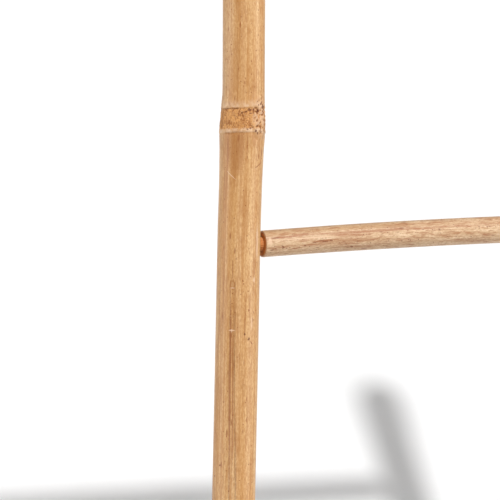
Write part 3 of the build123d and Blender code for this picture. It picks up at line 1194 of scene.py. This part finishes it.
def single_marks(net, color, growth, look, marks):
    """Marks placed one by one, each (kind, amount, place, turn, length, width, slant)."""
    inks = {"pit": "pit", "dark": "fleck", "stain": "stain", "pale": "wax", "skin": "pale"}
    scratches = 0.0
    for kind, amount, place, turn, length, width, slant in marks:
        where = {"Place": place, "Turn": turn, "Length": length, "Width": width, "Slant": slant}
        mark = net.times(net.grouped(single_mark, {"Growth": growth, **where})[0], amount)
        color = net.mix(mark, color, look[inks[kind]])
        if kind == "pit":
            scratches = net.larger(scratches, mark)
    return color, scratches


def bamboo(name, look, marks=()):
    """A bamboo material. look holds its tones and how strong each effect is."""
    material = bpy.data.materials.new(name)
    material.use_nodes = True
    net = Net(material.node_tree)
    shader = net.tree.nodes["Principled BSDF"]
    growth = reading(net, "growth")
    below, above, _ = net.split(reading(net, "rims"))
    dark, pale, cut = net.split(reading(net, "marks"))
    rough = net.split(reading(net, "stain"))[0]
    color, medium, thin = skin_color(net, growth, look)
    color, spots = stained(net, color, growth, look)
    shade = net.times(net.step(below, -26.0, -1.5, 0.0, 1.0), net.step(below, -1.5, -0.5, 1.0, 0.0))
    color = net.mix(net.times(shade, look["under_rim"]), color, look["stain"])
    bark = net.grouped(crust, {"Growth": growth, "Light": look["crust_light"], "Dark": look["crust_dark"]})
    color = net.mix(rough, color, bark["Color"])
    notch = net.times(net.step(above, -2.6, -1.7), net.step(above, -1.2, -0.5, 1.0, 0.0))
    broken = net.step(net.noise(net.scaled(growth, (0.35, 0.35, 0.3)), 3.0), 0.48, 0.62)
    color = net.mix(net.times(notch, net.times(broken, 0.8)), color, look["pit"])
    waxed = net.grouped(wax, {"Growth": growth, "Below": below, "Above": above})[0]
    waxed = net.times(waxed, look["waxy"])
    color = net.mix(waxed, color, look["wax"])
    color = net.mix(pale, color, look["wax"])
    color = net.mix(dark, color, look["pit"])
    color, scratches = single_marks(net, color, growth, look, marks)
    wood = net.grouped(sawn, {"Growth": growth, "Light": look["sawn"], "Dark": look["sawn_dark"]})
    color = net.mix(cut, color, wood["Color"])
    net.feed(shader.inputs["Base Color"], color)
    crusty = net.larger(rough, net.larger(pale, net.times(waxed, 0.7)))
    gloss = net.step(medium, 0.0, 1.0, look["roughness"] + 0.06, look["roughness"] - 0.04)
    gloss = net.step(crusty, 0.0, 1.0, gloss, 0.72)
    net.feed(shader.inputs["Roughness"], net.step(cut, 0.0, 1.0, gloss, 0.85))
    shader.inputs["Coat Roughness"].default_value = 0.22
    shader.inputs["Specular IOR Level"].default_value = 0.4
    net.feed(shader.inputs["Coat Weight"], net.step(net.larger(crusty, cut), 0.0, 1.0, look["lacquer"], 0.0))
    height = net.plus(net.times(thin, 0.035), net.times(medium, 0.05))
    height = net.minus(height, net.times(net.larger(scratches, spots), 0.12))
    height = net.plus(height, net.times(bark["Height"], net.times(crusty, 0.32)))
    height = net.plus(height, net.times(wood["Height"], net.times(cut, 0.25)))
    bump = net.add("ShaderNodeBump", {"Height": height, "Distance": 1.0 * MM, "Strength": 1.0})
    net.feed(shader.inputs["Normal"], bump.outputs[0])
    return material


# %% Tones of the poles
POLE_LOOK = {
    "radius": 20.5,
    "shift": 0.0,
    "tan": tone(193, 143, 84),
    "pale": tone(224, 188, 138),
    "streak": tone(174, 116, 56),
    "glint": tone(230, 196, 150),
    "stain": tone(156, 98, 44),
    "fleck": tone(132, 66, 14),
    "pit": tone(98, 46, 12),
    "wax": tone(218, 185, 153),
    "crust_light": tone(206, 149, 87),
    "crust_dark": tone(142, 84, 36),
    "sawn": tone(204, 132, 66),
    "sawn_dark": tone(140, 80, 36),
    # Painted light: the pole is painted paler towards its front right.
    "painted_light_turn": -60.0,
    "painted_light_share": 0.42,
    "streaky": 0.44,
    "dashes": 0.40,
    "grain": 0.50,
    "stains": 0.30,
    "flecks": 0.14,
    "under_rim": 0.25,
    "waxy": 0.85,
    "roughness": 0.45,
    "lacquer": 0.08,
}
RUNG_LOOK = {
    **POLE_LOOK,
    "radius": 12.9,
    "shift": 40.0,
    "tan": tone(190, 157, 119),
    "pale": tone(230, 203, 168),
    "streak": tone(170, 124, 82),
    "glint": tone(246, 222, 192),
    "stain": tone(150, 88, 48),
    "fleck": tone(112, 56, 24),
    "sawn_dark": tone(168, 98, 44),
    # Painted light: the rungs are painted paler on their lower front.
    "painted_light_turn": 222.0,
    "painted_light_share": 0.9,
    "streaky": 0.36,
    "dashes": 0.62,
    "grain": 0.50,
    "stains": 0.30,
    "flecks": 0.50,
    "under_rim": 0.15,
}

# %% [markdown]
# The left pole's marks are set one by one: a panel of darker skin under the fourth node between two brown
# streaks, a scratch, threads of dark mould along the grain, a few dots and dashes of handling, and painted shade
# along the edges and round the tip of the groove above the third node.

# %% Marks on the left pole
FACING = math.degrees(POLE_FRONT)
LEFT_POLE_MARKS = [
    ("stain", 0.75, 1143, FACING + 3, 3.2, 1.8, 0),
    ("stain", 0.70, 1147, FACING + 5, 2.0, 1.6, 0),
    ("stain", 0.65, 1139.6, FACING + 0, 2.2, 1.4, 0),
    ("stain", 0.60, 1139, FACING + 31, 2.4, 1.4, 0),
    ("stain", 0.60, 1137, FACING + 19, 2.4, 1.4, 0),
    ("stain", 0.45, 1079, FACING - 13, 52, 18, 0),
    ("stain", 0.70, 1080, FACING - 38, 34, 3.4, 0),
    ("stain", 0.60, 1066, FACING - 39, 60, 1.2, 0),
    ("dark", 0.45, 1083, FACING + 14, 24, 1.2, 0),
    ("dark", 0.50, 1045, FACING - 49, 46, 0.8, 0),
    ("dark", 0.85, 1064, FACING + 52, 13, 1.0, 61),
    ("pale", 0.80, 1055, FACING - 27, 13, 0.9, -50),
    # Painted shade: dark lines along both edges of the groove above the third node. A dark ring goes round its
    # pointed tip, with pale marks inside and under the ring. Together they draw the groove in colour.
    ("dark", 0.55, 855, FACING - 16.5, 190, 1.9, -0.7),
    ("dark", 0.55, 852, FACING - 9, 186, 1.6, -0.8),
    ("dark", 0.45, 900, FACING - 16.5, 70, 1.6, -0.7),
    ("stain", 0.80, 951, FACING - 15, 11, 6.4, 0),
    ("skin", 0.30, 951, FACING - 15, 6.6, 3.6, 0),
    ("pale", 0.80, 947.8, FACING - 15, 1.2, 5.2, 0),
    ("dark", 0.50, 966, FACING - 15.5, 22, 1.3, 0),
    ("pale", 0.80, 907.4, FACING - 15, 1.5, 7.4, 0),
    ("pale", 0.60, 907, FACING - 15, 4.5, 1.2, 0),
    ("dark", 0.40, 903, FACING - 17, 7, 3.0, 0),
    ("dark", 0.35, 935, FACING - 42, 80, 1.3, 0),
    ("dark", 0.35, 925, FACING - 56, 90, 1.8, 0),
    ("dark", 0.40, 953, FACING + 48, 38, 1.2, 0),
    ("pale", 0.75, 955, FACING + 48, 5.5, 3.2, 0),
    ("dark", 0.65, 951, FACING + 48, 1.6, 1.4, 0),
    ("dark", 0.75, 954.6, FACING + 13, 2.0, 1.8, 0),
    ("dark", 0.45, 916, FACING + 21, 48, 1.1, 0),
    ("dark", 0.35, 930, FACING + 34, 36, 1.2, 0),
    ("pale", 0.50, 914, FACING + 42, 14, 2.4, 0),
    ("dark", 0.75, 926.4, FACING + 32, 2.4, 1.8, 0),
    ("dark", 0.70, 924, FACING + 48, 3.4, 1.4, -20),
    ("dark", 0.60, 917, FACING + 45, 5.0, 1.0, 0),
    ("pit", 0.85, 903.5, FACING + 21, 2.4, 2.0, 0),
    ("pit", 0.85, 899, FACING + 34, 2.4, 3.2, -40),
    ("dark", 0.80, 895, FACING + 43, 4.6, 1.4, -40),
    ("dark", 0.55, 882, FACING + 3, 1.2, 2.8, 0),
    ("dark", 0.90, 778, FACING - 42, 2.2, 2.0, 30),
    ("dark", 0.90, 767, FACING - 64, 2.2, 1.8, 30),
    ("dark", 0.60, 782, FACING - 26, 1.6, 1.2, 0),
    ("dark", 0.60, 821, FACING + 71, 3.0, 1.3, 15),
    ("stain", 0.40, 800, FACING + 60, 70, 1.4, 0),
    ("pale", 0.65, 991, FACING + 58, 36, 5.0, 0),
    ("stain", 0.50, 990, FACING + 55, 16, 1.2, 8),
    ("pit", 0.95, 1119.6, FACING + 62, 4.6, 3.6, 0),
    ("pit", 0.90, 1116, FACING + 64, 2.8, 2.2, 0),
    ("pit", 0.90, 1116, FACING + 43, 4.2, 3.2, 0),
    ("pit", 0.70, 1124.8, FACING + 41, 1.8, 1.4, 0),
    ("pit", 0.70, 1121.5, FACING + 43, 1.8, 1.4, 0),
    ("pit", 0.80, 1117.6, FACING + 29, 2.0, 1.8, 0),
    ("pit", 0.80, 1117.0, FACING + 17, 2.2, 4.2, 0),
    ("pit", 0.80, 1115.6, FACING + 8, 2.0, 3.0, 0),
    ("pit", 0.85, 1114.4, FACING - 2, 2.2, 2.2, 0),
    ("pit", 0.60, 1113.8, FACING + 20, 1.2, 4.0, 0),
    ("pit", 0.55, 1118, FACING - 23, 1.2, 3.2, 0),
    ("pit", 0.80, 1099.7, FACING + 21, 2.0, 2.6, 0),
    ("pit", 0.75, 1098.8, FACING + 13, 1.6, 2.2, 0),
    ("pit", 0.75, 1100.6, FACING + 27, 1.8, 1.8, 0),
    ("pit", 0.80, 1097.2, FACING + 36, 2.0, 2.6, -20),
    ("pit", 0.80, 1094.8, FACING + 42, 2.6, 2.0, -20),
    ("pit", 0.70, 1102, FACING - 88, 3.0, 2.0, 0),
]
RUNG_MARKS = [
    ("pale", 0.85, 4, 166, 4.0, 8.5, 0),
    ("pale", 0.75, 42, 163, 84, 1.7, 0),
    ("stain", 0.35, 120, 151, 220, 3.0, 0),
    ("stain", 0.70, 18, 152, 28, 1.6, 0),
    ("dark", 0.65, 10, 153, 9, 1.4, 0),
    ("dark", 0.75, 17, 191, 3.6, 1.6, 30),
    ("dark", 0.75, 17.5, 198, 3.6, 1.4, -30),
    ("stain", 0.75, 59, 180, 22, 3.0, 0),
    ("dark", 0.65, 50, 184, 5.0, 1.4, 0),
    ("dark", 0.60, 57, 177, 6.0, 1.2, 0),
    ("dark", 0.70, 61, 183, 7.0, 1.4, 0),
    ("dark", 0.65, 67, 180, 3.5, 1.8, 0),
    ("dark", 0.70, 40, 195, 2.6, 1.8, 0),
    ("stain", 0.70, 30, 205, 9, 1.6, 0),
    ("dark", 0.55, 6, 205, 5, 1.6, 0),
    ("stain", 0.65, 78, 160, 16, 1.4, 0),
    ("stain", 0.60, 92, 162, 12, 1.2, 0),
    ("dark", 0.80, 89, 216, 3.6, 2.2, 20),
    ("dark", 0.65, 69, 103, 3.0, 1.6, 0),
    ("stain", 0.60, 147, 157, 2.6, 2.2, 0),
    ("dark", 0.70, 180, 162, 1.8, 2.6, 0),
    ("dark", 0.50, 181, 177, 1.4, 1.4, 0),
    ("stain", 0.60, 211, 154, 6.0, 1.6, 20),
    ("dark", 0.60, 222, 158, 1.6, 1.8, 0),
    ("stain", 0.50, 214, 188, 7.0, 1.3, 0),
    ("stain", 0.50, 218, 198, 7.0, 1.2, 0),
    ("stain", 0.50, 213, 208, 6.0, 1.2, 0),
    ("stain", 0.40, 231, 193, 16, 3.0, 0),
]

# %% [markdown]
# ## Drive the finishes onto the culms
# Each culm gets its own copy of the recipe, shifted, so that no two carry the same streaks.

# %% Finish the culms
LOOKS = {
    "left_pole": (POLE_LOOK, {}),
    # Painted light: the right pole is painted paler towards its back.
    "right_pole": (POLE_LOOK, {"shift": 11.0, "painted_light_turn": 80.0}),
    "rung_1": (RUNG_LOOK, {"shift": 40.0}),
    "rung_2": (RUNG_LOOK, {"shift": 47.0}),
    "rung_3": (RUNG_LOOK, {"shift": 55.0}),
    "rung_4": (RUNG_LOOK, {"shift": 63.0}),
}
for node, (look, changes) in LOOKS.items():
    marks = {"left_pole": LEFT_POLE_MARKS, "rung_3": RUNG_MARKS}.get(node, ())
    material = bamboo(f"bamboo of the {node.replace('_', ' ')}", {**look, **changes}, marks)
    pieces[node].data.materials.append(material)
    print(node, "finished")

# %% [markdown]
# ## Dowels
# A hardwood dowel joins each end of a rung to its pole. It is bought fluted, so that glue and air can escape as
# it is driven in, and its ends are chamfered to find the hole. A short length shows between rung and pole.

# %% Dowels


def turned_piece(name, stations, around, place, along, ripple=None):
    """A piece turned on a lathe: stations are (distance, radius) in mm, from place and along a direction."""
    along = unit(along)
    side = unit(np.cross(along, (0.31, 0.17, 0.93) if abs(along[2]) < 0.9 else (1, 0, 0)))
    other = np.cross(along, side)
    turn = np.linspace(0, 2 * np.pi, around, endpoint=False)
    rows, growth = [], []
    for distance, radius in stations:
        reach = radius + (ripple(distance, turn) if ripple else 0 * turn)
        ring = np.cos(turn)[:, None] * side + np.sin(turn)[:, None] * other
        rows.append(np.array(place) + (distance * along + reach[:, None] * ring) * MM)
        growth.append(np.stack([reach * np.cos(turn), reach * np.sin(turn), np.full(around, distance)], axis=1))
    tips = [np.array(place) + stations[k][0] * along * MM for k in (0, -1)]
    mesh = bpy.data.meshes.new(name)
    mesh.from_pydata(np.concatenate([*rows, tips]).tolist(), [], ring_faces(len(rows), around))
    layer = mesh.attributes.new("growth", "FLOAT_VECTOR", "POINT")
    numbers = np.concatenate([*growth, [(0, 0, stations[0][0]), (0, 0, stations[-1][0])]])
    layer.data.foreach_set("vector", numbers.astype(np.float32).ravel())
    mark_sharp(mesh)
    piece = bpy.data.objects.new(name, mesh)
    scene.collection.objects.link(piece)
    return piece


DOWEL_RADIUS = 7.0
DOWEL_CHAMFER = 1.0
FLUTES = 18
FLUTE_DEPTH = 0.35


def dowel_stations(length):
    """A dowel's side view: chamfered ends with a slightly crushed edge, and an even body between."""
    edge = DOWEL_RADIUS - DOWEL_CHAMFER
    ends = [(0.0, 0.05), (0.0, 3.0), (0.0, edge - 0.15), (0.15, edge + 0.1)]
    ends += [(DOWEL_CHAMFER - 0.1, DOWEL_RADIUS - 0.15), (DOWEL_CHAMFER + 0.2, DOWEL_RADIUS)]
    body = [(d, DOWEL_RADIUS) for d in np.linspace(DOWEL_CHAMFER + 1.2, length - DOWEL_CHAMFER - 1.2, 40)]
    return ends + body + [(length - d, r) for d, r in reversed(ends)]


def make_dowel(rung, word):
    """One fluted dowel on the line of the rung's two CAD dowels."""
    node = f"{rung}_dowel_{word}"
    left, right = middle_of(f"{rung}_dowel_left"), middle_of(f"{rung}_dowel_right")
    along, middle = unit(right - left), middle_of(node)
    low, high = (np.array(corner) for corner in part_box(node))
    length = ((high - low)[0] / MM - 2 * DOWEL_RADIUS * math.hypot(along[1], along[2])) / along[0]

    def flutes(distance, turn):
        within = smooth_step(distance, 1.2, 3.0) * smooth_step(length - distance, 1.2, 3.0)
        return -FLUTE_DEPTH * within * np.maximum(np.cos(FLUTES * turn), 0.0) ** 2

    start = middle - along * length / 2 * MM
    return turned_piece(f"{node}_turned", dowel_stations(length), 144, start, along, flutes)


dowels = {}
for rung in RUNGS:
    for word in ("left", "right"):
        node = f"{rung}_dowel_{word}"
        dowels[node] = make_dowel(rung, word)
        take_place(dowels[node], node)

# %% [markdown]
# Meranti: orange-brown, with straight grain and long open pores that show as short dark dashes.

# %% Dowel finish
dowel_wood = bpy.data.materials.new("meranti dowel")
dowel_wood.use_nodes = True
net = Net(dowel_wood.node_tree)
dowel_shader = net.tree.nodes["Principled BSDF"]
growth = reading(net, "growth")
grain = streaked(net, growth, 0.7, 30.0, 2.0)
band = streaked(net, growth, 4.0, 80.0, 6.0)
rays = flecked(net, growth, 1.1, 3.0, 0.45, 1.0)
color = net.mix(band, tone(190, 118, 58), tone(206, 134, 70))
color = net.mix(net.step(grain, 0.0, 1.0, 0.45, 0.0), color, tone(164, 94, 44))
color = net.mix(net.times(rays, 0.6), color, tone(122, 66, 32))
net.feed(dowel_shader.inputs["Base Color"], color)
net.feed(dowel_shader.inputs["Roughness"], net.step(grain, 0.0, 1.0, 0.75, 0.6))
relief = net.minus(net.times(grain, 0.05), net.times(rays, 0.06))
bump = net.add("ShaderNodeBump", {"Height": relief, "Distance": MM}).outputs[0]
net.feed(dowel_shader.inputs["Normal"], bump)
for dowel in dowels.values():
    dowel.data.materials.append(dowel_wood)

# %% [markdown]
# ## Nails
# A round wire nail driven in from the back of the pole locks each dowel. Its head is a shallow dome with a
# flattened middle from the hammer, its neck has the small grooves of the gripping jaws, and its point is cut to
# four facets.

# %% Nails
NAIL_RADIUS = 1.1
NAIL_HEAD = 2.0
NAIL_HEAD_TALL = 0.8
NAIL_POINT = 3.0


def nail_stations(length):
    """A nail's side view from its point to the middle of its head."""
    under = length - NAIL_HEAD_TALL
    stations = [(0.0, 0.1), (0.5, 0.28), (NAIL_POINT * 0.6, 0.78), (NAIL_POINT, NAIL_RADIUS)]
    stations += [(d, NAIL_RADIUS) for d in np.linspace(NAIL_POINT + 1, under - 7.5, 14)]
    for k in range(6):
        groove = under - 7.0 + k
        stations += [(groove, NAIL_RADIUS), (groove + 0.25, NAIL_RADIUS - 0.1), (groove + 0.5, NAIL_RADIUS)]
    stations += [(under - 0.5, NAIL_RADIUS), (under - 0.1, NAIL_RADIUS + 0.12), (under, NAIL_HEAD - 0.12)]
    stations += [(under + 0.1, NAIL_HEAD), (length - 0.3, NAIL_HEAD), (length - 0.14, NAIL_HEAD - 0.14)]
    stations += [(length - 0.04, NAIL_HEAD - 0.5), (length, 0.9), (length - 0.03, 0.5), (length - 0.03, 0.05)]
    return stations


def facets(distance, turn):
    """The four flat cuts of the point, fading out where the round wire begins."""
    share = np.clip(distance / NAIL_POINT, 0, 1)
    return -(1 - share) * 0.35 * share * np.abs(np.sin(2 * turn)) * 2


nails = {}
for rung in RUNGS:
    for word in ("left", "right"):
        node = f"{rung}_nail_{word}"
        low, high = (np.array(corner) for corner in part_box(node))
        tip = np.array([(low[0] + high[0]) / 2, low[1], (low[2] + high[2]) / 2])
        stations = nail_stations((high[1] - low[1]) / MM)
        nails[node] = turned_piece(f"{node}_drawn", stations, 64, tip, (0, 1, 0), facets)
        take_place(nails[node], node)

# %% [markdown]
# Drawn steel wire: fine lines along the shank, and a little grey-brown where it has dulled.

# %% Nail finish
steel = bpy.data.materials.new("steel nail")
steel.use_nodes = True
net = Net(steel.node_tree)
steel_shader = net.tree.nodes["Principled BSDF"]
growth = reading(net, "growth")
drawn = streaked(net, growth, 0.12, 12.0, 0.0)
dulled = net.step(net.noise(net.scaled(growth, (0.9, 0.9, 0.5)), 4.0), 0.42, 0.66)
color = net.mix(net.step(drawn, 0.0, 1.0, 0.3, 0.0), tone(196, 194, 190), tone(150, 148, 146))
color = net.mix(net.times(dulled, 0.7), color, tone(120, 104, 90))
net.feed(steel_shader.inputs["Base Color"], color)
net.feed(steel_shader.inputs["Metallic"], net.step(dulled, 0.0, 1.0, 1.0, 0.55))
net.feed(steel_shader.inputs["Roughness"], net.step(dulled, 0.0, 1.0, 0.28, 0.6))
relief = net.plus(net.times(drawn, 0.02), net.times(dulled, 0.03))
bump = net.add("ShaderNodeBump", {"Height": relief, "Distance": MM}).outputs[0]
net.feed(steel_shader.inputs["Normal"], bump)
for nail in nails.values():
    nail.data.materials.append(steel)

# %% Bring the scene up to date
bpy.context.view_layer.update()
